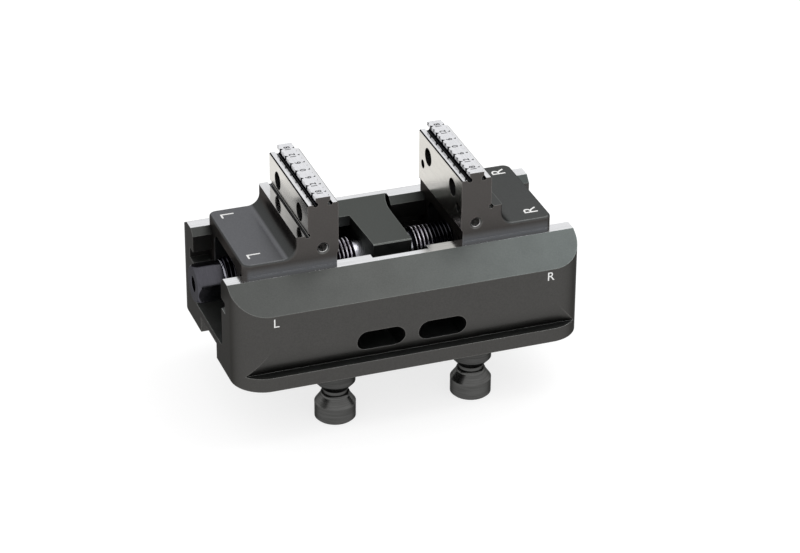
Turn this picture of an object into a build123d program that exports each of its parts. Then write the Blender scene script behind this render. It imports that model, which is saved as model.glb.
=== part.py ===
"""Self centering vise: a channelled base on four pull studs, with two mirror-image jaws
that one left and right hand spindle draws together or apart.

Millimetres. X runs along the spindle, Y across it and Z up.
Each piece is drawn with Z counted from the base's underside. At the end all of them are lifted
together, so that the origin is under the middle of the base, level with the studs' feet.
"""

from build123d import *
import math
import os

os.makedirs("parts", exist_ok=True)

# Base: outside
base_length = 130.0
base_width = 77.5
base_height = 37.5
base_corner_radius = 12.0
shoulder_drop = 7.5
strip_outer_half = 25.0
clamp_lip_height = 5.4
clamp_groove_depth = 4.0
clamp_groove_height = 11.1
key_slot_width = 19.6
key_slot_depth = 6.0

# Base: the channel between the two rails
channel_half = 17.5
channel_floor = 9.0
channel_corner_radius = 2.0
rail_chamfer = 2.5
tee_ledge_drop = 13.0
tee_height = 4.3
tee_depth = 4.5
rail_notch_length = 21.0
rail_notch_reach = 5.0

# Base: two slots through each side wall
side_slot_length = 18.0
side_slot_height = 8.0
side_slot_pitch = 23.0
side_slot_shift = -1.3
side_slot_above_floor = 4.7

# Jaws
jaw_opening = 46.0
jaw_width = 44.0
jaw_thickness = 11.3
jaw_length = 35.0
carriage_rise = 4.5
carriage_inner_step = 0.6
carriage_step_rise = 4.2
carriage_end_radius = 3.0
carriage_edge_radius = 0.8
shelf_rise = 8.1
shelf_width = 4.3
shelf_fillet = 4.5
corner_relief_radius = 0.9
upright_rise = 19.8
upright_edge_chamfer = 0.4

# Jaws: serrated dovetail rib along the top
rib_height = 2.6
rib_top_width = 5.4
rib_neck_width = 3.5
rib_land = 1.25
rib_relief_radius = 0.9
tooth_pitch = 3.0
tooth_depth = 0.5
deep_tooth_depth = 1.0
deep_tooth_every = 2

# Jaws: holes
face_thread_radius = 3.4
face_thread_spacing = 25.0
face_thread_below_top = 6.8
stop_hole_radius = 1.7
stop_hole_spacing = 36.0
stop_hole_below_top = 12.2
stop_hole_depth = 8.0
side_thread_radius = 1.65
side_thread_mouth_radius = 2.3
side_thread_height_above_rail = 6.8
side_thread_depth = 10.0

# Jaws: the slide under the carriage
slide_clearance = 0.06
leg_thickness = 3.9
leg_reach = 16.5
tunnel_corner_radius = 4.0
nut_inset = 4.0
nut_length = 18.0
nut_below_spindle = 9.9

# Spindle
spindle_drop = 11.6
spindle_left_reach = 70.2
spindle_right_reach = 57.5
thread_radius = 8.0
thread_end_chamfer = 1.0
thread_relief_length = 3.5
journal_radius = 6.4
thrust_flange_radius = 9.5
thrust_flange_thickness = 5.0
hex_across_flats = 13.0
hex_length = 9.8
hex_turn = 13.0
hex_end_chamfer = 1.2
end_hole_radius = 2.8
end_hole_depth = 3.0
running_clearance = 0.05

# Center bearing
bearing_length = 14.4
bearing_side_clearance = 0.1
cover_rise = 0.2
cover_front_reach = 14.0
cover_flange_height = 5.1
cover_tab_reach = 12.8
cover_tab_front = 10.0
cover_left_spread = 0.9
cover_tab_thickness = 4.0
cover_flare_reach = 10.0
cover_edge_chamfer = 0.4
thrust_ring_thickness = 1.0
thrust_ring_bore_radius = 8.1
bearing_pin_radius = 1.5
bearing_pin_spacing = 9.0
bearing_pin_share_of_web = 0.6
bearing_pin_recess = 0.3
cover_screw_radius = 2.0
cover_screw_spacing = 28.8
cover_screw_head_radius = 3.5
cover_screw_head_height = 3.0
cover_screw_seat_height = 4.2
cover_screw_tip_gap = 0.8
cover_screw_hex = 2.5
screw_hole_clearance = 0.2

# Pull studs
stud_spacing = 52.0
stud_collar_radius = 7.4
stud_collar_height = 7.2
stud_neck_radius = 4.55
stud_neck_top = 10.5
stud_neck_bottom = 11.7
stud_head_root_radius = 5.4
stud_head_root = 13.0
stud_head_shoulder = 16.0
stud_head_radius = 7.5
stud_length = 22.3
stud_foot_chamfer = 0.5
stud_shank_radius = 5.0
stud_shank_length = 8.0
stud_shank_chamfer = 0.8
stud_shank_clearance = 0.05
stud_seat_depth = 0.6
stud_seat_clearance = 1.2
stud_hole_extra_depth = 0.4
stud_hex_across_flats = 6.0
stud_hex_depth = 5.0

# Sizes that follow from the ones above
shoulder_height = base_height - shoulder_drop
tee_ledge_height = base_height - tee_ledge_drop
spindle_height = base_height - spindle_drop
side_slot_center_height = channel_floor + side_slot_above_floor
leg_bottom = base_height - leg_reach
nut_bottom = spindle_height - nut_below_spindle
thread_left_end = spindle_left_reach - hex_length
jaw_inner = jaw_opening / 2
jaw_outer = jaw_inner + jaw_length
jaw_half_width = jaw_width / 2
slide_end = jaw_inner + carriage_inner_step
carriage_bottom = base_height + slide_clearance
carriage_top = base_height + carriage_rise
carriage_step_top = base_height + carriage_step_rise
shelf_top = carriage_top + shelf_rise
upright_top = carriage_top + upright_rise
upright_outer = jaw_inner + jaw_thickness
shelf_outer = upright_outer + shelf_width
rib_center = jaw_inner + jaw_thickness / 2
rib_top = upright_top + rib_height
slide_half = channel_half - slide_clearance
tunnel_half = slide_half - leg_thickness
tunnel_roof = base_height
wing_half = channel_half + tee_depth - slide_clearance
wing_bottom = tee_ledge_height + slide_clearance
wing_top = tee_ledge_height + tee_height - slide_clearance
nut_inner = slide_end + nut_inset
nut_outer = nut_inner + nut_length
nut_bore_radius = thread_radius + running_clearance
notch_half = channel_half + rail_notch_reach
bearing_half_width = channel_half - bearing_side_clearance
bearing_half_length = bearing_length / 2
bearing_bore_radius = journal_radius + running_clearance
thrust_pocket_radius = thrust_flange_radius + running_clearance
bearing_web = spindle_height - thrust_pocket_radius - channel_floor
bearing_pin_top = channel_floor + bearing_web * bearing_pin_share_of_web
thrust_pocket_half = thrust_flange_thickness / 2 + thrust_ring_thickness + running_clearance
thread_inner_end = bearing_half_length + thread_relief_length
cover_top = base_height + cover_rise
cover_flange_top = spindle_height + cover_flange_height


def polygon_face(points):
    """A flat face inside straight lines between the points."""
    return make_face(Polyline(*points, close=True))


def across_prism(face, half_width):
    """A face drawn in X and Z, made as wide as the given half width on both sides of Y = 0."""
    return extrude(Plane.XZ * face, amount=half_width, both=True)


def along_prism(face, x_from, x_to):
    """A face drawn in Y and Z, run along X."""
    return Pos(x_from, 0, 0) * extrude(Plane.YZ * face, amount=x_to - x_from)


def upright_cylinder(x, y, z_from, z_to, radius):
    return Pos(x, y, (z_from + z_to) / 2) * Cylinder(radius, z_to - z_from)


def lying_cylinder(x_from, x_to, y, z, radius):
    """A cylinder along X."""
    return Pos((x_from + x_to) / 2, y, z) * Rot(0, 90, 0) * Cylinder(radius, x_to - x_from)


def hexagon(across_flats):
    return RegularPolygon(across_flats / 2, 6, major_radius=False)


def base_outline():
    """Half of the base's section on each side: lip, curved clamping groove, wall and shoulder."""
    half = base_width / 2
    groove_radius = (clamp_groove_depth**2 + clamp_groove_height**2) / (2 * clamp_groove_depth)
    groove_top = clamp_lip_height + clamp_groove_height
    mid_angle = math.asin(clamp_groove_height / groove_radius) / 2
    mid_inset = groove_radius * (1 - math.cos(mid_angle))
    mid_height = groove_top - groove_radius * math.sin(mid_angle)

    def side(sign):
        return [
            Line((sign * half, 0), (sign * half, clamp_lip_height)),
            Line((sign * half, clamp_lip_height), (sign * (half - clamp_groove_depth), clamp_lip_height)),
            ThreePointArc(
                (sign * (half - clamp_groove_depth), clamp_lip_height),
                (sign * (half - mid_inset), mid_height),
                (sign * half, groove_top),
            ),
            Line((sign * half, groove_top), (sign * half, shoulder_height)),
            Line((sign * half, shoulder_height), (sign * strip_outer_half, base_height)),
        ]

    bottom = Line((-half, 0), (half, 0))
    top = Line((-strip_outer_half, base_height), (strip_outer_half, base_height))
    return make_face([bottom, top] + side(1) + side(-1))


def channel_section():
    """The open channel: floor, walls, a T groove in each wall and a chamfer on each rail."""
    above = base_height + rail_chamfer
    tee_half = channel_half + tee_depth
    tee_top = tee_ledge_height + tee_height
    right = [
        (channel_half, channel_floor),
        (channel_half, tee_ledge_height),
        (tee_half, tee_ledge_height),
        (tee_half, tee_top),
        (channel_half, tee_top),
        (channel_half, base_height - rail_chamfer),
        (channel_half + rail_chamfer, base_height),
        (channel_half + rail_chamfer, above),
    ]
    left = [(-y, z) for y, z in reversed(right)]
    return polygon_face(right + left)


def stud_places():
    half = stud_spacing / 2
    return {
        "front_left": (-half, -half),
        "front_right": (half, -half),
        "rear_left": (-half, half),
        "rear_right": (half, half),
    }


def base_body():
    half_length = base_length / 2
    outline = along_prism(base_outline(), -half_length, half_length)
    plan = RectangleRounded(base_length, base_width, base_corner_radius)
    body = outline & extrude(plan, amount=base_height)

    channel = along_prism(channel_section(), -half_length, half_length)
    floor_edges = channel.edges().filter_by(Axis.X).group_by(Axis.Z)[0]
    body -= fillet(floor_edges, channel_corner_radius)

    notch_height = base_height - tee_ledge_height
    notch = Box(rail_notch_length, 2 * notch_half, notch_height, align=(Align.CENTER, Align.CENTER, Align.MIN))
    body -= Pos(0, 0, tee_ledge_height) * notch

    body -= Pos(0, 0, key_slot_depth / 2) * Box(base_length, key_slot_width, key_slot_depth)

    slot = SlotOverall(side_slot_length, side_slot_height)
    for place in (-side_slot_pitch / 2, side_slot_pitch / 2):
        window = Pos(place + side_slot_shift, side_slot_center_height) * slot
        body -= across_prism(window, base_width)

    shank_hole_radius = stud_shank_radius + stud_shank_clearance
    seat_radius = stud_collar_radius + stud_seat_clearance
    for x, y in stud_places().values():
        body -= upright_cylinder(x, y, 0, stud_shank_length + stud_hole_extra_depth, shank_hole_radius)
        body -= upright_cylinder(x, y, 0, stud_seat_depth, seat_radius)

    for y in (-cover_screw_spacing / 2, cover_screw_spacing / 2):
        head_room = cover_screw_head_radius + screw_hole_clearance
        shank_room = cover_screw_radius + screw_hole_clearance
        body -= upright_cylinder(0, y, 0, cover_screw_seat_height, head_room)
        body -= upright_cylinder(0, y, 0, channel_floor + channel_corner_radius, shank_room)

    for x in (-bearing_pin_spacing / 2, bearing_pin_spacing / 2):
        body -= upright_cylinder(x, 0, 0, channel_floor, bearing_pin_radius)
    return body


def upright_outline():
    """Side view of a right jaw above the rails, with the concave fillet behind the shelf."""
    fillet_mid = shelf_fillet * (1 - math.sqrt(0.5))
    edge_bottom = upright_top - upright_edge_chamfer
    lines = [
        Line((slide_end, carriage_bottom), (slide_end, carriage_step_top)),
        Line((slide_end, carriage_step_top), (jaw_inner, carriage_step_top + carriage_inner_step)),
        Line((jaw_inner, carriage_step_top + carriage_inner_step), (jaw_inner, edge_bottom)),
        Line((jaw_inner, edge_bottom), (jaw_inner + upright_edge_chamfer, upright_top)),
        Line((jaw_inner + upright_edge_chamfer, upright_top), (upright_outer - upright_edge_chamfer, upright_top)),
        Line((upright_outer - upright_edge_chamfer, upright_top), (upright_outer, edge_bottom)),
        Line((upright_outer, edge_bottom), (upright_outer, shelf_top)),
        Line((upright_outer, shelf_top), (shelf_outer, shelf_top)),
        Line((shelf_outer, shelf_top), (shelf_outer, carriage_top + shelf_fillet)),
        ThreePointArc(
            (shelf_outer, carriage_top + shelf_fillet),
            (shelf_outer + fillet_mid, carriage_top + fillet_mid),
            (shelf_outer + shelf_fillet, carriage_top),
        ),
        Line((shelf_outer + shelf_fillet, carriage_top), (jaw_outer, carriage_top)),
        Line((jaw_outer, carriage_top), (jaw_outer, carriage_bottom)),
        Line((jaw_outer, carriage_bottom), (slide_end, carriage_bottom)),
    ]
    return make_face(lines)


def rounded_carriage():
    """The jaw above the rails, with its outer corners and top edges rounded."""
    body = across_prism(upright_outline(), jaw_half_width)
    outer_corners = body.edges().filter_by(Axis.Z).group_by(Axis.X)[-1]
    body = fillet(outer_corners, carriage_end_radius)
    top_face = body.faces().filter_by(Axis.Z).filter_by(lambda f: abs(f.center().Z - carriage_top) < 0.01)[0]
    rim = [edge for edge in top_face.edges() if edge.center().X > shelf_outer + shelf_fillet + 0.01]
    return fillet(rim, carriage_edge_radius)


def rib():
    """Dovetail rib along Y, with upright saw teeth down both of its sides."""
    top_half = rib_top_width / 2
    neck_half = rib_neck_width / 2
    land_bottom = rib_top - rib_land
    dovetail = polygon_face([
        (rib_center - neck_half, upright_top),
        (rib_center - top_half, land_bottom),
        (rib_center - top_half, rib_top),
        (rib_center + top_half, rib_top),
        (rib_center + top_half, land_bottom),
        (rib_center + neck_half, upright_top),
    ])
    bar = across_prism(dovetail, jaw_half_width)

    last = math.floor(jaw_half_width / tooth_pitch)
    notches = []
    for index in range(-last, last + 1):
        y = index * tooth_pitch
        depth = deep_tooth_depth if index % deep_tooth_every == 0 else tooth_depth
        for sign in (-1, 1):
            face = polygon_face([
                (rib_center + sign * (top_half + depth), y - tooth_pitch / 2),
                (rib_center + sign * (top_half - depth), y),
                (rib_center + sign * (top_half + depth), y + tooth_pitch / 2),
            ])
            notches.append(Pos(0, 0, upright_top) * extrude(face, amount=rib_height))
    return bar - notches


def jaw_holes():
    """Threaded, stop and side holes of a right jaw; the side holes are countersunk."""
    holes = []
    face_z = upright_top - face_thread_below_top
    for y in (-face_thread_spacing / 2, face_thread_spacing / 2):
        holes.append(lying_cylinder(jaw_inner, upright_outer, y, face_z, face_thread_radius))
    stop_z = upright_top - stop_hole_below_top
    for y in (-stop_hole_spacing / 2, stop_hole_spacing / 2):
        holes.append(lying_cylinder(jaw_inner, jaw_inner + stop_hole_depth, y, stop_z, stop_hole_radius))
    side_z = base_height + side_thread_height_above_rail
    for sign, tilt in ((-1, -90), (1, 90)):
        drill = Cylinder(side_thread_radius, side_thread_depth, align=(Align.CENTER, Align.CENTER, Align.MIN))
        mouth = Cone(
            side_thread_mouth_radius,
            side_thread_radius,
            side_thread_mouth_radius - side_thread_radius,
            align=(Align.CENTER, Align.CENTER, Align.MIN),
        )
        holes.append(Pos(rib_center, sign * jaw_half_width, side_z) * Rot(tilt, 0, 0) * (drill + mouth))
    return holes


def slide():
    """The T shaped slide that runs in the channel, hollow around the spindle."""
    tee = polygon_face([
        (slide_half, leg_bottom),
        (slide_half, wing_bottom),
        (wing_half, wing_bottom),
        (wing_half, wing_top),
        (slide_half, wing_top),
        (slide_half, carriage_bottom),
        (-slide_half, carriage_bottom),
        (-slide_half, wing_top),
        (-wing_half, wing_top),
        (-wing_half, wing_bottom),
        (-slide_half, wing_bottom),
        (-slide_half, leg_bottom),
    ])
    return along_prism(tee, slide_end, jaw_outer)


def tunnel(x_from, x_to, bottom):
    """The hollow under a carriage: flat roof, rounded upper corners, open below."""
    height = tunnel_roof - bottom
    block = Box(x_to - x_from, 2 * tunnel_half, height, align=(Align.MIN, Align.CENTER, Align.MIN))
    block = Pos(x_from, 0, bottom) * block
    return fillet(block.edges().filter_by(Axis.X).group_by(Axis.Z)[-1], tunnel_corner_radius)


def right_jaw():
    body = rounded_carriage() + slide() + rib()
    body -= tunnel(slide_end, nut_inner, leg_bottom)
    body -= tunnel(nut_outer, jaw_outer, leg_bottom)
    nut_depth = leg_bottom - nut_bottom
    nut = Box(nut_length, 2 * tunnel_half, nut_depth, align=(Align.MIN, Align.CENTER, Align.MIN))
    body += Pos(nut_inner, 0, nut_bottom) * nut
    body -= lying_cylinder(nut_inner, nut_outer, 0, spindle_height, nut_bore_radius)

    relief = Cylinder(corner_relief_radius, jaw_width)
    body -= Pos(upright_outer, 0, shelf_top) * Rot(90, 0, 0) * relief
    for sign in (-1, 1):
        place = rib_center + sign * (rib_neck_width / 2 + rib_relief_radius)
        groove = Cylinder(rib_relief_radius, jaw_width)
        body -= Pos(place, 0, upright_top) * Rot(90, 0, 0) * groove
    return body - jaw_holes()


def spindle():
    """Threads drawn at their major radius, a thrust flange in the middle, a hexagon on the left end."""
    low = (Align.CENTER, Align.CENTER, Align.MIN)
    flange_half = thrust_flange_thickness / 2
    body = lying_cylinder(-flange_half, flange_half, 0, 0, thrust_flange_radius)
    body += lying_cylinder(-thread_inner_end, thread_inner_end, 0, 0, journal_radius)
    for outer_end, tilt in ((thread_left_end, -90), (spindle_right_reach, 90)):
        thread = Cylinder(thread_radius, outer_end - thread_inner_end, align=low)
        thread = chamfer(thread.edges().filter_by(GeomType.CIRCLE), thread_end_chamfer)
        body += Rot(0, tilt, 0) * Pos(0, 0, thread_inner_end) * thread

    key = extrude(hexagon(hex_across_flats), amount=hex_length)
    envelope = Cylinder(hex_across_flats / math.sqrt(3), hex_length, align=low)
    end_drop = hex_end_chamfer * math.tan(math.radians(60)) / 2
    key = key & chamfer(envelope.edges().group_by(Axis.Z)[-1], end_drop, hex_end_chamfer)
    body += Rot(hex_turn, 0, 0) * Rot(0, -90, 0) * Pos(0, 0, thread_left_end) * key

    body -= lying_cylinder(-spindle_left_reach, end_hole_depth - spindle_left_reach, 0, 0, end_hole_radius)
    body -= lying_cylinder(spindle_right_reach - end_hole_depth, spindle_right_reach, 0, 0, end_hole_radius)
    return Pos(0, 0, spindle_height) * body


def bearing_hollow():
    """What the spindle takes out of the two bearing halves."""
    bore = lying_cylinder(-bearing_half_length, bearing_half_length, 0, spindle_height, bearing_bore_radius)
    pocket = lying_cylinder(-thrust_pocket_half, thrust_pocket_half, 0, spindle_height, thrust_pocket_radius)
    return bore + pocket


def bearing_block():
    height = spindle_height - channel_floor
    low = (Align.CENTER, Align.CENTER, Align.MIN)
    body = Pos(0, 0, channel_floor) * Box(bearing_length, 2 * bearing_half_width, height, align=low)
    floor_edges = body.edges().filter_by(Axis.X).group_by(Axis.Z)[0]
    body = fillet(floor_edges, channel_corner_radius)
    body -= bearing_hollow()
    for y in (-cover_screw_spacing / 2, cover_screw_spacing / 2):
        body -= upright_cylinder(0, y, channel_floor, spindle_height, cover_screw_radius + screw_hole_clearance)
    for x in (-bearing_pin_spacing / 2, bearing_pin_spacing / 2):
        body -= upright_cylinder(x, 0, channel_floor, bearing_pin_top, bearing_pin_radius)
    return body


def cover_plan():
    """The cover's top: a bar that widens a little on the left, a tab and a flare into the rear notch."""
    rear = notch_half - bearing_side_clearance
    left = bearing_half_length + cover_left_spread
    flare_mid_y = (cover_tab_front + rear) / 2
    flare_mid_x = bearing_half_length + (cover_flare_reach - bearing_half_length) * 0.3
    lines = [
        Line((-bearing_half_length, -cover_front_reach), (bearing_half_length, -cover_front_reach)),
        Line((bearing_half_length, -cover_front_reach), (bearing_half_length, cover_tab_front)),
        ThreePointArc(
            (bearing_half_length, cover_tab_front),
            (flare_mid_x, flare_mid_y),
            (cover_flare_reach, rear),
        ),
        Line((cover_flare_reach, rear), (-cover_flare_reach, rear)),
        Line((-cover_flare_reach, rear), (-cover_flare_reach, bearing_half_width)),
        Line((-cover_flare_reach, bearing_half_width), (-cover_tab_reach, bearing_half_width)),
        Line((-cover_tab_reach, bearing_half_width), (-cover_tab_reach, cover_tab_front)),
        Line((-cover_tab_reach, cover_tab_front), (-left, cover_tab_front)),
        Line((-left, cover_tab_front), (-bearing_half_length, -cover_front_reach)),
    ]
    return make_face(lines)


def bearing_cover():
    flange_height = cover_flange_top - spindle_height
    low = (Align.CENTER, Align.CENTER, Align.MIN)
    body = Pos(0, 0, spindle_height) * Box(bearing_length, 2 * bearing_half_width, flange_height, align=low)
    bar_length = cover_front_reach + bearing_half_width
    bar_height = cover_top - spindle_height
    bar = Box(bearing_length, bar_length, bar_height, align=(Align.CENTER, Align.MIN, Align.MIN))
    body += Pos(0, -cover_front_reach, spindle_height) * bar
    plate = extrude(cover_plan(), amount=-cover_tab_thickness)
    body += Pos(0, 0, cover_top) * plate
    front_edge = body.edges().filter_by(Axis.X).filter_by(
        lambda e: abs(e.center().Z - cover_top) < 0.01 and abs(e.center().Y + cover_front_reach) < 0.01
    )
    body = chamfer(front_edge, cover_edge_chamfer)
    body -= bearing_hollow()
    for y in (-cover_screw_spacing / 2, cover_screw_spacing / 2):
        body -= upright_cylinder(0, y, spindle_height, cover_flange_top - cover_screw_tip_gap / 2, cover_screw_radius)
    return body


def cover_screw(y):
    """Low cap screw that enters from below, with a hexagon socket."""
    tip = cover_flange_top - cover_screw_tip_gap
    head_bottom = cover_screw_seat_height - cover_screw_head_height
    body = upright_cylinder(0, y, cover_screw_seat_height, tip, cover_screw_radius)
    body += upright_cylinder(0, y, head_bottom, cover_screw_seat_height, cover_screw_head_radius)
    socket = extrude(hexagon(cover_screw_hex), amount=cover_screw_head_height / 2)
    return body - Pos(0, y, head_bottom) * socket


def thrust_ring(side):
    """Bronze ring between the thrust flange and the wall of its pocket; side is -1 or 1."""
    inner = thrust_flange_thickness / 2 + running_clearance / 2
    middle = side * (inner + thrust_ring_thickness / 2)
    x_from = middle - thrust_ring_thickness / 2
    x_to = middle + thrust_ring_thickness / 2
    ring = lying_cylinder(x_from, x_to, 0, spindle_height, thrust_flange_radius)
    return ring - lying_cylinder(x_from, x_to, 0, spindle_height, thrust_ring_bore_radius)


def bearing_pin(x):
    bottom = key_slot_depth + bearing_pin_recess
    return upright_cylinder(x, 0, bottom, bearing_pin_top, bearing_pin_radius)


def pull_stud(x, y):
    """Turned stud: threaded shank, collar, waist and head, with a hexagon socket in its foot."""
    profile = make_face([
        Line((0, stud_shank_length), (stud_shank_radius - stud_shank_chamfer, stud_shank_length)),
        Line(
            (stud_shank_radius - stud_shank_chamfer, stud_shank_length),
            (stud_shank_radius, stud_shank_length - stud_shank_chamfer),
        ),
        Line((stud_shank_radius, stud_shank_length - stud_shank_chamfer), (stud_shank_radius, stud_seat_depth)),
        Line((stud_shank_radius, stud_seat_depth), (stud_collar_radius, stud_seat_depth)),
        Line((stud_collar_radius, stud_seat_depth), (stud_collar_radius, -stud_collar_height)),
        Line((stud_collar_radius, -stud_collar_height), (stud_neck_radius, -stud_neck_top)),
        Line((stud_neck_radius, -stud_neck_top), (stud_neck_radius, -stud_neck_bottom)),
        RadiusArc(
            (stud_neck_radius, -stud_neck_bottom),
            (stud_head_root_radius, -stud_head_root),
            stud_head_root - stud_neck_bottom,
        ),
        Line((stud_head_root_radius, -stud_head_root), (stud_head_radius, -stud_head_shoulder)),
        Line((stud_head_radius, -stud_head_shoulder), (stud_head_radius, stud_foot_chamfer - stud_length)),
        Line(
            (stud_head_radius, stud_foot_chamfer - stud_length),
            (stud_head_radius - stud_foot_chamfer, -stud_length),
        ),
        Line((stud_head_radius - stud_foot_chamfer, -stud_length), (0, -stud_length)),
        Line((0, -stud_length), (0, stud_shank_length)),
    ])
    body = revolve(Plane.XZ * profile, axis=Axis.Z)
    body -= Pos(0, 0, -stud_length) * extrude(hexagon(stud_hex_across_flats), amount=stud_hex_depth)
    return Pos(x, y, 0) * body


def all_parts():
    right = right_jaw()
    parts = {
        "base_body": base_body(),
        "right_jaw": right,
        "left_jaw": mirror(right, about=Plane.YZ),
        "spindle": spindle(),
        "bearing_block": bearing_block(),
        "bearing_cover": bearing_cover(),
        "cover_screw_front": cover_screw(-cover_screw_spacing / 2),
        "cover_screw_rear": cover_screw(cover_screw_spacing / 2),
        "bearing_pin_left": bearing_pin(-bearing_pin_spacing / 2),
        "bearing_pin_right": bearing_pin(bearing_pin_spacing / 2),
        "thrust_ring_left": thrust_ring(-1),
        "thrust_ring_right": thrust_ring(1),
    }
    for name, (x, y) in stud_places().items():
        parts["pull_stud_" + name] = pull_stud(x, y)
    return parts


for name, solid in all_parts().items():
    export_step(Pos(0, 0, stud_length) * solid, "parts/" + name + ".step")
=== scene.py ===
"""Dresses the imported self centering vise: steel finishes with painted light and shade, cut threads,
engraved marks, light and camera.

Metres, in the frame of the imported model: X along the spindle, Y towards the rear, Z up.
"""

import math

import bmesh
import bpy
from mathutils import Matrix, Vector


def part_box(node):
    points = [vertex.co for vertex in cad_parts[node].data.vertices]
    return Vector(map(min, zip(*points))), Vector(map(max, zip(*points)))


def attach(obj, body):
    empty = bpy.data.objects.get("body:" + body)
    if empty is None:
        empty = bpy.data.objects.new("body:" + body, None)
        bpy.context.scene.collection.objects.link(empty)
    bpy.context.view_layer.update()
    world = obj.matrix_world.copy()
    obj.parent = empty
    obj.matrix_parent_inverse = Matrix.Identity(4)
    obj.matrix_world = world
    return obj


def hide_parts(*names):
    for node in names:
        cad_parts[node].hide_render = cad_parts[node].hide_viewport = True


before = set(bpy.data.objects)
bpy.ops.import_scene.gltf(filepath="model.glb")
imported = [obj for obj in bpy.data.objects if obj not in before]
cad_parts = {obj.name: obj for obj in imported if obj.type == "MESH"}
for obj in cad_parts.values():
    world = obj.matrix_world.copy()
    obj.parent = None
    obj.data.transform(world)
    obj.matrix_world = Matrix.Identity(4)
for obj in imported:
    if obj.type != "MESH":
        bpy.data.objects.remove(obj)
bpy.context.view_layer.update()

MM = 0.001

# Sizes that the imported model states, in metres
BASE_LOW, BASE_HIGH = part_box("base_body")
JAW_LOW, JAW_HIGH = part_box("right_jaw")
SPINDLE_LOW, SPINDLE_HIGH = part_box("spindle")
LIFT = BASE_LOW.z
RAIL_TOP = BASE_HIGH.z
SPINDLE_HEIGHT = (SPINDLE_LOW.z + SPINDLE_HIGH.z) / 2
JAW_INNER = JAW_LOW.x
JAW_OUTER = JAW_HIGH.x
RIB_TOP = JAW_HIGH.z
FRONT = BASE_LOW.y

# Sizes of the jaw and the spindle that no box gives, in metres
UPRIGHT_OUTER = JAW_INNER + 11.3 * MM
RIB_CENTER = (JAW_INNER + UPRIGHT_OUTER) / 2
RIB_GROOVE_EDGE = 3.6 * MM
UPRIGHT_TOP = RIB_TOP - 2.6 * MM
CARRIAGE_TOP = RAIL_TOP + 4.5 * MM
SHELF_TOP = CARRIAGE_TOP + 8.1 * MM
SIDE_HOLE_BORE = 1.75 * MM
SIDE_HOLE_MOUTH = 2.35 * MM
SIDE_HOLE_HEIGHT = RAIL_TOP + 6.8 * MM
STUD_COLLAR_BOTTOM = LIFT - 7.2 * MM
STUD_CONE_LOW = LIFT - 16.2 * MM
STUD_CONE_HIGH = LIFT - 12.4 * MM
GROUND_BELOW = RAIL_TOP + 5.0 * MM
MARK_SKIN = 0.02 * MM
PITCH = 1.5 * MM
THREAD_RADIUS = 8.0 * MM
THREAD_DEPTH = 0.92 * MM
THREAD_START = 11.0 * MM
THREAD_SHIFT = 0.4 * MM
THREAD_END = 60.4 * MM
JOURNAL_RADIUS = 6.4 * MM
FLANGE_RADIUS = 9.5 * MM
FLANGE_HALF = 2.5 * MM
HEX_APOTHEM = 6.5 * MM
HEX_TURN = math.radians(13)
END_HOLE_RADIUS = 2.8 * MM
END_HOLE_DEPTH = 3.0 * MM


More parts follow.
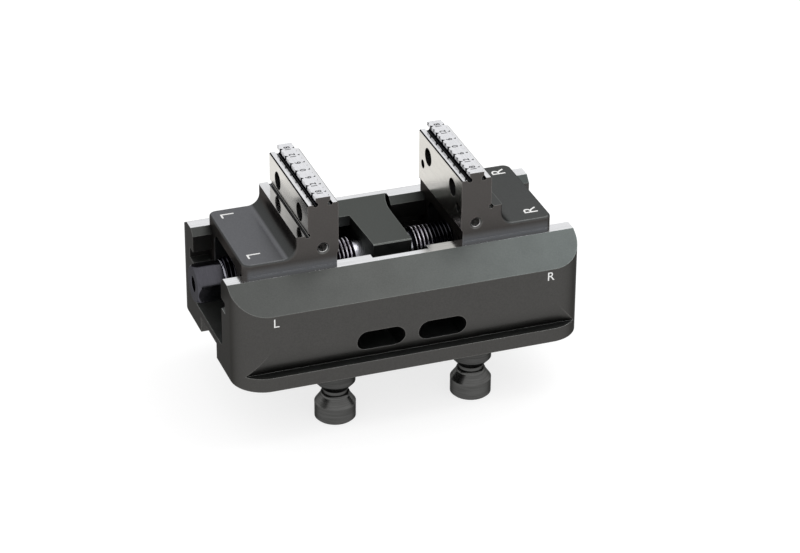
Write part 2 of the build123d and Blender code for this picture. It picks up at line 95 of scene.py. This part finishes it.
class Shader:
    """A material's node tree, with short calls for the nodes that this scene uses."""

    def __init__(self, name):
        self.material = bpy.data.materials.new(name)
        self.material.use_nodes = True
        self.tree = self.material.node_tree
        self.surface = self.tree.nodes["Principled BSDF"]
        self.coordinates = self.tree.nodes.new("ShaderNodeTexCoord")

    def node(self, kind, **settings):
        made = self.tree.nodes.new(kind)
        for name, value in settings.items():
            setattr(made, name, value)
        return made

    def join(self, value, socket):
        """Links an output to a socket, or sets the socket to a plain value."""
        if isinstance(value, bpy.types.NodeSocket):
            self.tree.links.new(value, socket)
        else:
            socket.default_value = value

    def math(self, operation, first, second=0.0):
        made = self.node("ShaderNodeMath", operation=operation)
        self.join(first, made.inputs[0])
        self.join(second, made.inputs[1])
        return made.outputs[0]

    def split(self, vector):
        made = self.node("ShaderNodeSeparateXYZ")
        self.join(vector, made.inputs[0])
        return made.outputs

    def position(self):
        return self.coordinates.outputs["Object"]

    def facing(self):
        return self.coordinates.outputs["Normal"]

    def noise(self, size, detail=3.0, stretch=(1.0, 1.0, 1.0)):
        """Noise with blotches of about the given size in metres, stretched along the axes."""
        mapping = self.node("ShaderNodeMapping")
        self.join(self.position(), mapping.inputs["Vector"])
        mapping.inputs["Scale"].default_value = tuple(1 / (size * factor) for factor in stretch)
        made = self.node("ShaderNodeTexNoise")
        self.join(mapping.outputs[0], made.inputs["Vector"])
        made.inputs["Scale"].default_value = 1.0
        made.inputs["Detail"].default_value = detail
        return made.outputs["Fac"]

    def range(self, value, low, high, to_low, to_high):
        made = self.node("ShaderNodeMapRange")
        self.join(value, made.inputs["Value"])
        made.inputs["From Min"].default_value = low
        made.inputs["From Max"].default_value = high
        made.inputs["To Min"].default_value = to_low
        made.inputs["To Max"].default_value = to_high
        return made.outputs[0]

    def mix(self, factor, first, second):
        made = self.node("ShaderNodeMix", data_type="RGBA")
        self.join(factor, made.inputs["Factor"])
        self.join(first, made.inputs["A"])
        self.join(second, made.inputs["B"])
        return made.outputs["Result"]

    def blend(self, factor, first, second):
        """Mix of two plain numbers or outputs."""
        made = self.node("ShaderNodeMix", data_type="FLOAT")
        self.join(factor, made.inputs["Factor"])
        self.join(first, made.inputs["A"])
        self.join(second, made.inputs["B"])
        return made.outputs["Result"]

    def bump(self, height, strength, distance, normal=None):
        made = self.node("ShaderNodeBump")
        self.join(height, made.inputs["Height"])
        made.inputs["Strength"].default_value = strength
        made.inputs["Distance"].default_value = distance
        if normal is not None:
            self.join(normal, made.inputs["Normal"])
        return made.outputs["Normal"]

    def scale_color(self, color, amount):
        """A color times a plain number."""
        made = self.node("ShaderNodeVectorMath", operation="SCALE")
        self.join(color if isinstance(color, bpy.types.NodeSocket) else color[:3], made.inputs[0])
        self.join(amount, made.inputs["Scale"])
        return made.outputs[0]

    def soft_edges(self, radius):
        """A normal that rounds the edges a little, as a deburred edge is."""
        made = self.node("ShaderNodeBevel", samples=4)
        made.inputs["Radius"].default_value = radius
        return made.outputs["Normal"]

    def bend(self, radius):
        """How far an edge within the radius turns the surface: 0 on a flat face, up to 0.3 on an edge."""
        geometry = self.node("ShaderNodeNewGeometry")
        made = self.node("ShaderNodeVectorMath", operation="DOT_PRODUCT")
        self.join(self.soft_edges(radius), made.inputs[0])
        self.join(geometry.outputs["Normal"], made.inputs[1])
        return self.math("SUBTRACT", 1.0, made.outputs["Value"])

    def painted_edge_highlight(self, radius):
        """Painted highlight along edges: a factor that rises from one on a face to more than double on an
        edge.
        """
        return self.range(self.bend(radius), 0.003, 0.06, 1.0, 2.3)

    def above(self, value, limit):
        return self.math("GREATER_THAN", value, limit)

    def below(self, value, limit):
        return self.math("LESS_THAN", value, limit)

    def both(self, first, second):
        return self.math("MULTIPLY", first, second)

    def either(self, first, second):
        return self.math("MAXIMUM", first, second)

    def size_of(self, value):
        return self.math("ABSOLUTE", value)


# Reflectances of the finishes, and colours that paint light and shade onto them
BASE_SIDE = (0.067, 0.0655, 0.063, 1)
JAW_SIDE = (0.074, 0.069, 0.066, 1)
# Painted light: the base's slopes go from SLANT_LEFT at the left to the lighter, greener SLANT_RIGHT at the
# right.
SLANT_LEFT = (0.063, 0.0655, 0.063, 1)
SLANT_RIGHT = (0.073, 0.081, 0.079, 1)
FILLET = (0.068, 0.07, 0.07, 1)
# Painted light: the base's level faces below its ground strips, in the channel and the grooves, much lighter
# than its sides.
BASE_LEVEL = (0.2, 0.21, 0.205, 1)
# Painted light: level tops of the left jaw lighter than those of the right jaw (RIGHT_LEVEL).
LEFT_LEVEL = (0.16, 0.163, 0.172, 1)
# Painted sheen: a lighter bluish band low on the carriages' front and rear faces.
PAINTED_LOW_SHEEN = (0.125, 0.129, 0.135, 1)
RIGHT_LEVEL = (0.1, 0.103, 0.102, 1)
DARK_TINT = (0.35, 0.35, 0.35, 1)
WHITE = (1, 1, 1, 1)
GROUND = (0.76, 0.765, 0.78, 1)
RIB_GROUND = (0.77, 0.775, 0.8, 1)
CREAM = (0.58, 0.56, 0.515, 1)
# Painted shade: near black for the rib's sides, the grooves beside it, the upright's top chamfers and the
# corner reliefs.
SHADE_BLACK = (0.008, 0.008, 0.01, 1)
RELIEF_LINE = (0.06, 0.062, 0.062, 1)
LIT_HOLE_WALL = (0.9, 0.9, 0.89, 1)
HOLE_MOUTH = (0.11, 0.11, 0.108, 1)
RELIEF_MIDDLE_HIGHLIGHT = (0.16, 0.16, 0.155, 1)
LIT_TOOTH = (0.55, 0.55, 0.56, 1)
THREAD_PLAIN = (0.075, 0.074, 0.085, 1)
# Bright journals; also the colour of a painted glint ring at each thread's outer end.
JOURNAL = (0.55, 0.55, 0.6, 1)
THREAD_DARK = (0.006, 0.006, 0.009, 1)
# Painted highlight: the colour of the lit thread crests.
THREAD_BRIGHT = (0.95, 0.92, 1.0, 1)


def dark_tone(shader, side, slanted, level, edge_width):
    """Blackened steel, painted by which way a face looks: one tone on upright sides, one on slopes, one on
    level tops, and a painted highlight along edges.
    """
    lift = shader.split(shader.facing())[2]
    tone = shader.mix(shader.range(lift, 0.1, 0.6, 0.0, 1.0), side, slanted)
    tone = shader.mix(shader.range(lift, 0.9, 0.97, 0.0, 1.0), tone, level)
    grain = shader.noise(0.5 * MM, 4.0)
    shade = shader.range(grain, 0.35, 0.65, 0.94, 1.06)
    return shader.scale_color(tone, shader.both(shade, shader.painted_edge_highlight(edge_width)))


def steel_surface(shader, color, roughness, normal, tint=DARK_TINT):
    shader.join(color, shader.surface.inputs["Base Color"])
    shader.surface.inputs["Metallic"].default_value = 1.0
    shader.join(tint, shader.surface.inputs["Specular Tint"])
    shader.join(roughness, shader.surface.inputs["Roughness"])
    shader.join(normal, shader.surface.inputs["Normal"])
    return shader.material


def grain_normal(shader, edge_radius, strength=0.12):
    """Fine machining grain on top of softened edges."""
    grain = shader.noise(0.22 * MM, 2.0)
    return shader.bump(grain, strength, 0.02 * MM, shader.soft_edges(edge_radius))


def base_material():
    """Blackened body with light painted by facing, and two ground strips along the rails."""
    shader = Shader("blackened_base")
    place = shader.split(shader.position())
    normal = shader.split(shader.facing())
    strip = shader.both(shader.above(place[2], RAIL_TOP - 0.05 * MM), shader.above(normal[2], 0.98))
    scratches = shader.noise(0.35 * MM, 3.0, (40.0, 1.0, 1.0))
    bright = shader.scale_color(GROUND, shader.range(scratches, 0.4, 0.6, 0.94, 1.03))
    # Painted light: the slopes lighten towards the right.
    slanted = shader.mix(shader.range(place[0], -10 * MM, 60 * MM, 0.0, 1.0), SLANT_LEFT, SLANT_RIGHT)
    color = shader.mix(strip, dark_tone(shader, BASE_SIDE, slanted, BASE_LEVEL, 0.45 * MM), bright)
    cloud = shader.noise(9 * MM, 3.0)
    roughness = shader.blend(strip, shader.range(cloud, 0.35, 0.65, 0.36, 0.4), 0.16)
    tint = shader.mix(strip, DARK_TINT, WHITE)
    return steel_surface(shader, color, roughness, grain_normal(shader, 0.15 * MM), tint)


def jaw_material():
    """Blackened carriage; ground uprights, ledges, shelf (left jaw only) and rib top; painted shade and
    highlights on the teeth, grooves, edges, reliefs and side hole.
    """
    shader = Shader("ground_jaw")
    place = shader.split(shader.position())
    normal = shader.split(shader.facing())
    across = shader.size_of(place[0])
    upper = shader.above(place[2], GROUND_BELOW)
    sideways = shader.size_of(normal[0])
    level = shader.above(normal[2], 0.98)
    not_ends = shader.below(shader.size_of(normal[1]), 0.9)
    in_upright = shader.both(upper, shader.below(across, UPRIGHT_OUTER + 0.1 * MM))
    upright_faces = shader.both(in_upright, shader.above(sideways, 0.98))

    above_shelf = shader.above(place[2], SHELF_TOP - 0.1 * MM)
    left_or_high = shader.either(shader.below(place[0], 0.0), shader.above(place[2], UPRIGHT_TOP - 0.1 * MM))
    tops = shader.both(shader.both(above_shelf, level), left_or_high)
    rib_top = shader.both(tops, shader.above(place[2], RIB_TOP - 0.1 * MM))

    wear = shader.noise(0.4 * MM, 3.0, (1.0, 12.0, 1.0))
    shade = shader.range(wear, 0.4, 0.6, 0.95, 1.03)
    right = shader.above(place[0], 0.0)
    # Painted sheen: a lighter bluish band low on the carriages' front and rear faces, fading out upwards.
    on_end = shader.range(shader.size_of(normal[1]), 0.8, 0.95, 0.0, 1.0)
    painted_sheen = shader.both(on_end, shader.range(place[2], RAIL_TOP + 0.4 * MM, RAIL_TOP + 3.4 * MM, 1.0, 0.0))
    side = shader.mix(painted_sheen, JAW_SIDE, PAINTED_LOW_SHEEN)
    # Painted light: the left jaw's level tops lighter than the right jaw's.
    dark = dark_tone(shader, side, FILLET, shader.mix(right, LEFT_LEVEL, RIGHT_LEVEL), 0.4 * MM)
    # Painted shade: on the left jaw the ground upright faces darken to a third towards the front.
    painted_front_shade = shader.both(shade, shader.range(place[1], -21 * MM, 6 * MM, 0.33, 1.0))
    face_shade = shader.blend(right, painted_front_shade, shade)
    color = shader.mix(upright_faces, dark, shader.scale_color(CREAM, face_shade))
    shelf = shader.both(tops, shader.below(place[2], UPRIGHT_TOP - 0.1 * MM))
    # Painted shade: the shelf top darkens towards the front.
    shelf_shade = shader.both(shade, shader.range(place[1], -18 * MM, 20 * MM, 0.62, 0.95))
    top_shade = shader.blend(shelf, shade, shelf_shade)
    color = shader.mix(tops, color, shader.scale_color(GROUND, top_shade))
    color = shader.mix(rib_top, color, shader.scale_color(RIB_GROUND, shade))

    from_rib = shader.size_of(shader.math("SUBTRACT", across, RIB_CENTER))
    in_rib = shader.both(shader.above(place[2], UPRIGHT_TOP + 0.02 * MM), shader.below(normal[2], 0.9))
    tooth = shader.both(in_rib, shader.both(shader.above(sideways, 0.8), shader.above(normal[2], -0.1)))
    over_bottom = shader.above(place[2], UPRIGHT_TOP - 1.0 * MM)
    under_top = shader.below(place[2], UPRIGHT_TOP - 0.02 * MM)
    beside_rib = shader.below(from_rib, RIB_GROOVE_EDGE + 0.02 * MM)
    in_groove = shader.both(shader.both(over_bottom, under_top), beside_rib)
    groove_bottom = shader.both(in_groove, shader.above(normal[2], 0.9))
    slanted = shader.both(shader.above(sideways, 0.5), shader.above(normal[2], 0.5))
    edge = shader.both(slanted, shader.above(place[2], UPRIGHT_TOP - 0.5 * MM))
    relief_height = shader.size_of(shader.math("SUBTRACT", place[2], SHELF_TOP))
    relief_place = shader.size_of(shader.math("SUBTRACT", across, UPRIGHT_OUTER))
    near_relief = shader.both(shader.below(relief_height, 0.95 * MM), shader.below(relief_place, 0.95 * MM))
    bent = shader.both(shader.below(sideways, 0.97), shader.below(shader.size_of(normal[2]), 0.97))
    relief = shader.both(near_relief, bent)
    # Painted shade: near black on the rib's sides, the grooves beside it, the upright's top chamfers and the
    # corner reliefs, for shade and dark reflections.
    black = shader.either(shader.either(in_rib, in_groove), shader.either(edge, relief))
    black = shader.both(black, not_ends)
    color = shader.mix(black, color, SHADE_BLACK)
    # Painted light line: the groove bottoms beside the rib, lighter than the painted black around them.
    color = shader.mix(shader.both(groove_bottom, not_ends), color, RELIEF_LINE)
    # Painted highlight: the teeth's outward faces on the rib's sides painted light grey.
    color = shader.mix(shader.both(tooth, not_ends), color, LIT_TOOTH)
    # Painted highlight: a grey band across the middle of each corner relief.
    mid_relief = shader.both(relief, shader.both(shader.above(sideways, 0.5), shader.below(sideways, 0.82)))
    color = shader.mix(shader.both(mid_relief, not_ends), color, RELIEF_MIDDLE_HIGHLIGHT)
    # Painted shade and light in the side hole: a dark mouth and a near white bore wall.
    up_hole = shader.math("SUBTRACT", place[2], SIDE_HOLE_HEIGHT)
    squares = shader.math("ADD", shader.both(from_rib, from_rib), shader.both(up_hole, up_hole))
    from_axis = shader.math("SQRT", squares)
    in_mouth = shader.both(shader.below(from_axis, SIDE_HOLE_MOUTH), not_ends)
    color = shader.mix(in_mouth, color, HOLE_MOUTH)
    in_bore = shader.both(shader.below(from_axis, SIDE_HOLE_BORE), not_ends)
    color = shader.mix(in_bore, color, LIT_HOLE_WALL)

    ground = shader.either(upright_faces, tops)
    cloud = shader.noise(7 * MM, 3.0)
    roughness = shader.blend(ground, shader.range(cloud, 0.35, 0.65, 0.32, 0.37), 0.1)
    roughness = shader.blend(upright_faces, roughness, 0.2)
    tint = shader.mix(ground, DARK_TINT, WHITE)
    return steel_surface(shader, color, roughness, grain_normal(shader, 0.1 * MM), tint)


def plain_material(name, tone, roughness_low, roughness_high, edge=0.12 * MM):
    """One finish all over, with its own mottling and roughness clouds, and a painted highlight along edges.
    """
    shader = Shader(name)
    grain = shader.noise(0.5 * MM, 4.0)
    shade = shader.both(shader.range(grain, 0.35, 0.65, 0.94, 1.06), shader.painted_edge_highlight(0.4 * MM))
    color = shader.scale_color(tone, shade)
    cloud = shader.noise(5 * MM, 3.0)
    roughness = shader.range(cloud, 0.35, 0.65, roughness_low, roughness_high)
    return steel_surface(shader, color, roughness, grain_normal(shader, edge))


def turned_material(name, dark, worn, roughness, axis, ring, bands=()):
    """Turned steel with fine rings round the axis; bands are (low, high, shade) in height, a factor on the
    colour that paints light or shade.
    """
    shader = Shader(name)
    stretch = [30.0, 30.0, 30.0]
    stretch[axis] = 1.0
    rings = shader.noise(ring, 2.0, stretch)
    color = shader.mix(shader.range(rings, 0.35, 0.65, 0.0, 1.0), dark, worn)
    height = shader.split(shader.position())[2]
    for low, high, shade in bands:
        inside = shader.both(shader.above(height, low), shader.below(height, high))
        color = shader.scale_color(color, shader.blend(inside, 1.0, shade))
    cloud = shader.noise(4 * MM, 3.0)
    rough = shader.range(cloud, 0.35, 0.65, roughness, roughness + 0.07)
    normal = shader.bump(rings, 0.15, 0.03 * MM, shader.soft_edges(0.1 * MM))
    return steel_surface(shader, color, rough, normal)


def thread_material():
    """Dark turned steel; painted highlights on the thread crests, fading out away from the middle, and a
    painted glint ring at each thread's outer end.
    """
    shader = Shader("spindle_steel")
    place = shader.split(shader.position())
    height = shader.math("SUBTRACT", place[2], SPINDLE_HEIGHT)
    squares = shader.math("ADD", shader.both(place[1], place[1]), shader.both(height, height))
    from_axis = shader.math("SQRT", squares)
    crest = shader.range(from_axis, THREAD_RADIUS - 0.5 * MM, THREAD_RADIUS - 0.12 * MM, 0.0, 1.0)
    along = shader.size_of(place[0])
    threaded = shader.both(shader.above(along, THREAD_START), shader.below(along, THREAD_END))
    rings = shader.noise(0.2 * MM, 2.0, (1.0, 30.0, 30.0))
    journal = shader.both(shader.above(along, FLANGE_HALF + 0.3 * MM), shader.below(along, THREAD_START))
    plain = shader.mix(journal, THREAD_PLAIN, JOURNAL)
    turned = shader.scale_color(plain, shader.range(rings, 0.35, 0.65, 0.9, 1.1))
    # Painted highlight: the crests are bright near the middle and fade out by about 19 mm from it.
    crest_highlight = shader.range(along, 14.5 * MM, 19.2 * MM, 1.0, 0.03)
    # Painted highlight: a bright ring at the outer end of each thread, in the journals' colour.
    ring_start = shader.above(along, THREAD_END - 0.8 * MM)
    ring_end = shader.below(along, THREAD_END - 0.3 * MM)
    at_end = shader.both(ring_start, ring_end)
    cut = shader.mix(shader.both(crest, crest_highlight), THREAD_DARK, THREAD_BRIGHT)
    cut = shader.mix(at_end, cut, JOURNAL)
    color = shader.mix(threaded, turned, cut)
    cloud = shader.noise(4 * MM, 3.0)
    rough = shader.range(cloud, 0.35, 0.65, 0.2, 0.27)
    normal = shader.bump(rings, 0.15, 0.03 * MM, shader.soft_edges(0.08 * MM))
    return steel_surface(shader, color, rough, normal)


def ink_material(name, color, roughness):
    """Laser mark: matt, slightly uneven."""
    shader = Shader(name)
    faded = tuple(0.8 * part for part in color[:3]) + (1,)
    grain = shader.noise(0.15 * MM, 3.0)
    tone = shader.mix(shader.range(grain, 0.35, 0.7, 0.0, 1.0), color, faded)
    shader.join(tone, shader.surface.inputs["Base Color"])
    shader.surface.inputs["Metallic"].default_value = 0.0
    rough = shader.range(grain, 0.3, 0.7, roughness, roughness + 0.15)
    shader.join(rough, shader.surface.inputs["Roughness"])
    return shader.material


def paint_node(name, material):
    """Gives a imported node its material, on every slot that it has."""
    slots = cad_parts[name].material_slots
    for slot in slots:
        slot.material = material


def new_object(name, mesh, material, body):
    made = bpy.data.objects.new(name, mesh)
    bpy.context.scene.collection.objects.link(made)
    mesh.materials.append(material)
    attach(made, body)
    return made


def hexagon_radius(angle):
    """Distance from the axis to a hexagon's side, with one corner turned from upright to the front."""
    within = (angle + HEX_TURN) % math.radians(60) - math.radians(30)
    return HEX_APOTHEM / math.cos(within)


def thread_radius(x, end, angle, hand):
    """Radius of a cut thread, rounded a little at crest and root, fading out at both ends."""
    turn = ((x - THREAD_SHIFT) / PITCH - hand * angle / math.tau) % 1.0
    rise = abs(2 * turn - 1)
    rise = min(1.0, max(0.0, (rise - 0.12) / 0.76))
    lead_in = min(1.0, (x - THREAD_START) / (1.2 * MM), (end - x) / (1.2 * MM))
    crest = THREAD_RADIUS - 1.0 * MM * (1 - min(1.0, max(0.0, lead_in)))
    root = THREAD_RADIUS - THREAD_DEPTH
    return min(crest, root + THREAD_DEPTH * rise)


def plain_radius(radius):
    return lambda angle: radius


def threaded_rings(end, hand):
    """Rings from the flange out to the end of one thread: (distance, radius at an angle)."""
    rings = [
        (0.0, plain_radius(FLANGE_RADIUS)),
        (FLANGE_HALF, plain_radius(FLANGE_RADIUS)),
        (FLANGE_HALF, plain_radius(JOURNAL_RADIUS)),
        (THREAD_START, plain_radius(JOURNAL_RADIUS)),
    ]
    steps_a_pitch = 8
    count = round((end - THREAD_START) / PITCH * steps_a_pitch)
    for index in range(count + 1):
        x = THREAD_START + (end - THREAD_START) * index / count
        rings.append((x, lambda angle, x=x: thread_radius(x, end, angle, hand)))
    return rings


def hexagon_rings(end):
    """Rings along the drive hexagon, whose outer corners are turned to a cone."""
    chamfer = 1.2 * MM
    corner = HEX_APOTHEM / math.cos(math.radians(30))
    drop = chamfer * math.sqrt(3) / 2
    rings = [(THREAD_END, hexagon_radius)]
    steps = 8
    for step in range(steps + 1):
        x = end - chamfer + chamfer * step / steps
        limit = corner - drop * step / steps
        rings.append((x, lambda angle, limit=limit: min(limit, hexagon_radius(angle))))
    return rings


def end_hole_rings(end):
    return [
        (end, plain_radius(END_HOLE_RADIUS + 0.25 * MM)),
        (end - 0.25 * MM, plain_radius(END_HOLE_RADIUS)),
        (end - END_HOLE_DEPTH, plain_radius(END_HOLE_RADIUS)),
        (end - END_HOLE_DEPTH, plain_radius(0.02 * MM)),
    ]


def turned_half(side, rings, corners):
    """Vertices and faces of one half of the spindle; side is -1 or 1."""
    vertices = []
    faces = []
    for x, radius_at in rings:
        for index in range(corners):
            angle = math.tau * index / corners
            radius = radius_at(angle)
            vertices.append((side * x, radius * math.sin(angle), SPINDLE_HEIGHT + radius * math.cos(angle)))
    for ring in range(len(rings) - 1):
        for index in range(corners):
            after = (index + 1) % corners
            face = [
                ring * corners + index,
                ring * corners + after,
                (ring + 1) * corners + after,
                (ring + 1) * corners + index,
            ]
            faces.append(face if side < 0 else face[::-1])
    return vertices, faces


def spindle_piece(material):
    """The spindle with its left hand and right hand threads cut."""
    corners = 72
    left_end = -SPINDLE_LOW.x
    right_end = SPINDLE_HIGH.x
    left = threaded_rings(THREAD_END, -1) + hexagon_rings(left_end) + end_hole_rings(left_end)
    right = threaded_rings(right_end, 1) + end_hole_rings(right_end)
    vertices = []
    faces = []
    for side, rings in ((-1, left), (1, right)):
        more, more_faces = turned_half(side, rings, corners)
        shift = len(vertices)
        vertices += more
        faces += [[index + shift for index in face] for face in more_faces]
    mesh = bpy.data.meshes.new("spindle_turned")
    mesh.from_pydata(vertices, [], faces)
    shape = bmesh.new()
    shape.from_mesh(mesh)
    bmesh.ops.remove_doubles(shape, verts=shape.verts, dist=0.002 * MM)
    bmesh.ops.recalc_face_normals(shape, faces=shape.faces)
    shape.to_mesh(mesh)
    shape.free()
    mesh.shade_smooth()
    mesh.set_sharp_from_angle(angle=math.radians(35))
    made = new_object("spindle_turned", mesh, material, "spindle")
    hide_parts("spindle")
    return made


def text_piece(name, words, height, depth, placing, material, body, boldness=0.0):
    """Flat lettering, laid by the given matrix with its middle at that matrix's origin."""
    curve = bpy.data.curves.new(name, "FONT")
    curve.body = words
    curve.size = height
    curve.align_x = "CENTER"
    curve.align_y = "CENTER"
    curve.extrude = depth
    curve.offset = boldness
    holder = bpy.data.objects.new(name + "_curve", curve)
    bpy.context.scene.collection.objects.link(holder)
    bpy.context.view_layer.update()
    graph = bpy.context.evaluated_depsgraph_get()
    mesh = bpy.data.meshes.new_from_object(holder.evaluated_get(graph))
    mesh.name = name
    bpy.data.objects.remove(holder)
    mesh.transform(placing)
    mesh.materials.clear()
    return new_object(name, mesh, material, body)


def basis(origin, right, up):
    """Matrix that lays X along right and Y along up, at the origin."""
    right = Vector(right).normalized()
    out = right.cross(Vector(up)).normalized()
    up = out.cross(right)
    rows = Matrix((right, up, out)).transposed()
    return Matrix.Translation(origin) @ rows.to_4x4()


def bar_mesh(name, pieces):
    """Flat bars: each is (center, half along X, half along Y, half along Z)."""
    shape = bmesh.new()
    for center, half in pieces:
        made = bmesh.ops.create_cube(shape, size=2.0)["verts"]
        bmesh.ops.scale(shape, vec=half, verts=made)
        bmesh.ops.translate(shape, vec=center, verts=made)
    mesh = bpy.data.meshes.new(name)
    shape.to_mesh(mesh)
    shape.free()
    return mesh


def rib_scale(side, ink):
    """Numbers every 6 mm from the middle along a rib's top, with a dash on both sides of each."""
    body = "right_jaw" if side > 0 else "left_jaw"
    word = "right" if side > 0 else "left"
    dashes = []
    for step in range(-3, 4):
        y = step * 6 * MM
        center = Vector((side * RIB_CENTER, y, RIB_TOP))
        label = str(abs(step) * 6)
        name = f"scale_{word}_{'front' if step < 0 else 'rear'}_{label}"
        placing = basis(center, (0, 1, 0), (-1, 0, 0))
        text_piece(name, label, 3.2 * MM, MARK_SKIN, placing, ink, body, 0.05 * MM)
        for way in (-1, 1):
            dashes.append((center + Vector((way * 2.1 * MM, 0, 0)), (0.45 * MM, 0.11 * MM, MARK_SKIN)))
    mesh = bar_mesh(f"scale_{word}_dashes", dashes)
    new_object(f"scale_{word}_dashes", mesh, ink, body)


def side_marks(ink):
    """Letters for the two sides, on the base's front and on both carriages."""
    front_z = RAIL_TOP - 10.4 * MM
    front_size = 4.8 * MM
    carriage_size = 7.4 * MM
    for side, letter, x in ((-1, "L", -51.5 * MM), (1, "R", 51.0 * MM)):
        word = "left" if side < 0 else "right"
        place = Vector((x, FRONT, front_z))
        placing = basis(place, (1, 0, 0), (0, 0, 1))
        text_piece(f"mark_front_{word}", letter, front_size, MARK_SKIN, placing, ink, "base")
        for end, y in (("front", -15.2 * MM), ("rear", 16.7 * MM)):
            place = Vector((side * (JAW_OUTER - 5.7 * MM), y, CARRIAGE_TOP))
            placing = basis(place, (0, side, 0), (-side, 0, 0))
            name = f"mark_{word}_{end}"
            text_piece(name, letter, carriage_size, MARK_SKIN, placing, ink, f"{word}_jaw")


def pale_floor():
    mesh = bar_mesh("floor", [((0, 0, -0.5 * MM), (4.0, 4.0, 0.5 * MM))])
    floor = bpy.data.objects.new("floor", mesh)
    bpy.context.scene.collection.objects.link(floor)
    shader = Shader("pale_floor")
    shader.surface.inputs["Base Color"].default_value = (0.3, 0.3, 0.3, 1)
    shader.surface.inputs["Roughness"].default_value = 0.9
    shader.surface.inputs["Specular IOR Level"].default_value = 0.0
    shader.surface.inputs["Emission Color"].default_value = WHITE
    shader.surface.inputs["Emission Strength"].default_value = 0.76
    mesh.materials.append(shader.material)


def area_light(name, place, target, width, height, power):
    data = bpy.data.lights.new(name, "AREA")
    data.shape = "RECTANGLE"
    data.size = width
    data.size_y = height
    data.energy = power
    light = bpy.data.objects.new(name, data)
    light.location = place
    direction = Vector(target) - Vector(place)
    light.rotation_mode = "QUATERNION"
    light.rotation_quaternion = direction.to_track_quat("-Z", "Y")
    bpy.context.scene.collection.objects.link(light)


def studio_light():
    """A bright, even room and one large soft light overhead."""
    world = bpy.data.worlds.new("studio")
    bpy.context.scene.world = world
    world.use_nodes = True
    tree = world.node_tree
    sky = tree.nodes["Background"]
    coordinates = tree.nodes.new("ShaderNodeTexCoord")
    split = tree.nodes.new("ShaderNodeSeparateXYZ")
    ramp = tree.nodes.new("ShaderNodeValToRGB")
    tree.links.new(coordinates.outputs["Generated"], split.inputs[0])
    tree.links.new(split.outputs[2], ramp.inputs[0])
    ramp.color_ramp.elements[0].position = 0.0
    ramp.color_ramp.elements[0].color = (0.95, 0.95, 0.95, 1)
    ramp.color_ramp.elements[1].position = 0.95
    ramp.color_ramp.elements[1].color = (1.0, 1.0, 1.0, 1)
    tree.links.new(ramp.outputs[0], sky.inputs["Color"])
    sky.inputs["Strength"].default_value = 1.0
    area_light("overhead", (0.45, 0.05, 0.8), (0.05, 0, 0.03), 0.6, 0.6, 2.5)


def photo_camera():
    """The photograph's viewpoint, found from the base's edges and the stud spacing."""
    azimuth = math.radians(19.851)
    elevation = math.radians(29.039)
    roll = math.radians(0.3345)
    focal_pixels = 3026.64
    frame_width = 800
    place = Vector((-319.6, -907.1, 550.2)) * MM + Vector((0, 0, LIFT))
    forward = Vector((
        math.sin(azimuth) * math.cos(elevation),
        math.cos(azimuth) * math.cos(elevation),
        -math.sin(elevation),
    ))
    level = Vector((math.cos(azimuth), -math.sin(azimuth), 0))
    upward = level.cross(forward)
    right = math.cos(roll) * level + math.sin(roll) * upward
    up = -math.sin(roll) * level + math.cos(roll) * upward
    data = bpy.data.cameras.new("photo_view")
    data.sensor_fit = "HORIZONTAL"
    data.sensor_width = 36.0
    data.lens = focal_pixels / frame_width * data.sensor_width
    data.clip_start = 0.05
    data.clip_end = 20.0
    camera = bpy.data.objects.new("photo_view", data)
    camera.matrix_world = Matrix.Translation(place) @ Matrix((right, up, -forward)).transposed().to_4x4()
    bpy.context.scene.collection.objects.link(camera)
    bpy.context.scene.camera = camera


def dress():
    """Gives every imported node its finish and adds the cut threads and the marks."""
    paint_node("base_body", base_material())
    jaw = jaw_material()
    paint_node("left_jaw", jaw)
    paint_node("right_jaw", jaw)
    cover = plain_material("bearing_steel", (0.106, 0.112, 0.107, 1), 0.36, 0.42)
    paint_node("bearing_cover", cover)
    paint_node("bearing_block", cover)
    # Painted shade on the collar under the base, and a painted highlight on the cone.
    stud_light_bands = ((STUD_COLLAR_BOTTOM, LIFT, 0.7), (STUD_CONE_LOW, STUD_CONE_HIGH, 1.2))
    studs = turned_material(
        "stud_steel", (0.07, 0.07, 0.068, 1), (0.1, 0.1, 0.098, 1), 0.2, 2, 0.3 * MM, stud_light_bands
    )
    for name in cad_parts:
        if name.startswith("pull_stud"):
            paint_node(name, studs)
    fastener = plain_material("fastener_steel", (0.05, 0.05, 0.05, 1), 0.35, 0.45)
    for name in ("cover_screw_front", "cover_screw_rear", "bearing_pin_left", "bearing_pin_right"):
        paint_node(name, fastener)
    bronze = turned_material("ring_bronze", (0.42, 0.28, 0.13, 1), (0.5, 0.34, 0.17, 1), 0.28, 0, 0.2 * MM)
    for name in ("thrust_ring_left", "thrust_ring_right"):
        paint_node(name, bronze)
    spindle_piece(thread_material())
    dark_ink = ink_material("dark_mark", (0.03, 0.03, 0.034, 1), 0.6)
    white_ink = ink_material("white_mark", (0.85, 0.85, 0.84, 1), 0.6)
    for side in (-1, 1):
        rib_scale(side, dark_ink)
    side_marks(white_ink)


dress()
pale_floor()
studio_light()
photo_camera()
bpy.context.scene.view_settings.view_transform = "Standard"
